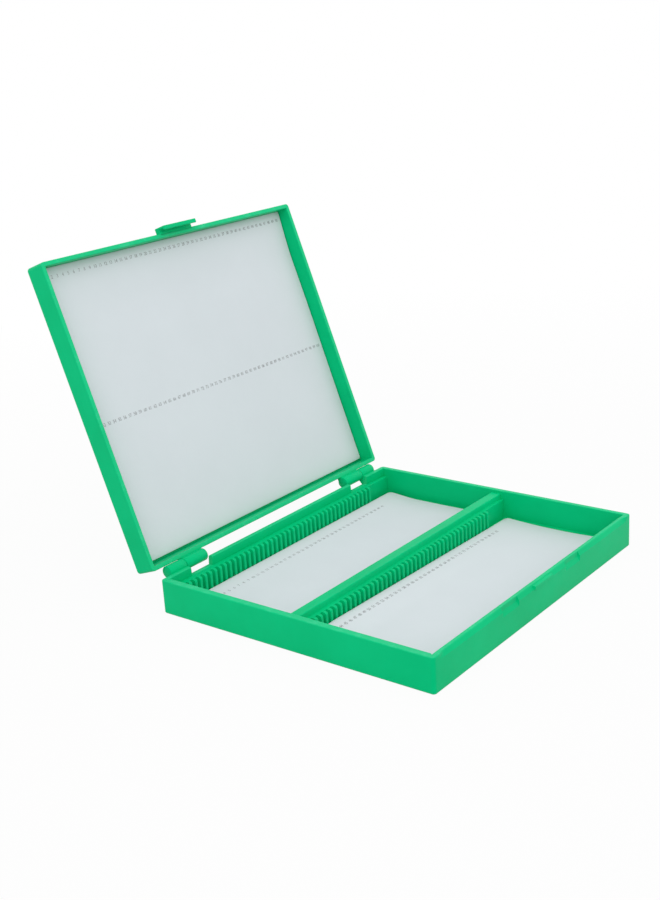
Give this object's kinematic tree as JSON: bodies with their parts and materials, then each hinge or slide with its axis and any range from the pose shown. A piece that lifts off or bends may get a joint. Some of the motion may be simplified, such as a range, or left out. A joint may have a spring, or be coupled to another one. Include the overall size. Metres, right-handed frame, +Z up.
{
  "type": "microscope slide box",
  "caption": "Shallow green plastic box for microscope slides: a tray with slotted rails and floor pads, and a hinged lid with a front catch and an index sheet inside.",
  "frame": {"origin": "middle of the base's underside, on the surface that the box rests on", "axes": "+X along the hinge, to the right seen from the catch side; +Y from the catch side to the hinge side; +Z up"},
  "size_m": [0.208, 0.2542, 0.1936],
  "materials": {
    "green_plastic": "satin moulded plastic",
    "white_pad": "matt lining pad with a printed row of numbers",
    "index_card": "matt index card with printed rows of numbers",
    "pin_steel": "drawn wire"
  },
  "bodies": {
    "base": {"base_tray": "green_plastic", "rear_rail": "green_plastic", "rear_ribs": "green_plastic", "center_divider": "green_plastic", "divider_rear_ribs": "green_plastic", "divider_front_ribs": "green_plastic", "front_rail": "green_plastic", "front_ribs": "green_plastic", "rear_pad": "white_pad", "front_pad": "white_pad", "left_hinge_pin": "pin_steel", "right_hinge_pin": "pin_steel"},
    "lid": {"lid_shell": "green_plastic", "index_sheet": "index_card"}
  },
  "joints": [
    {"name": "lid_hinge", "type": "hinge", "parent": "base", "child": "lid", "pos_m": [0, 0.0916, 0.01965], "axis": [1, 0, 0], "range_deg": [0, 110]}
  ]
}
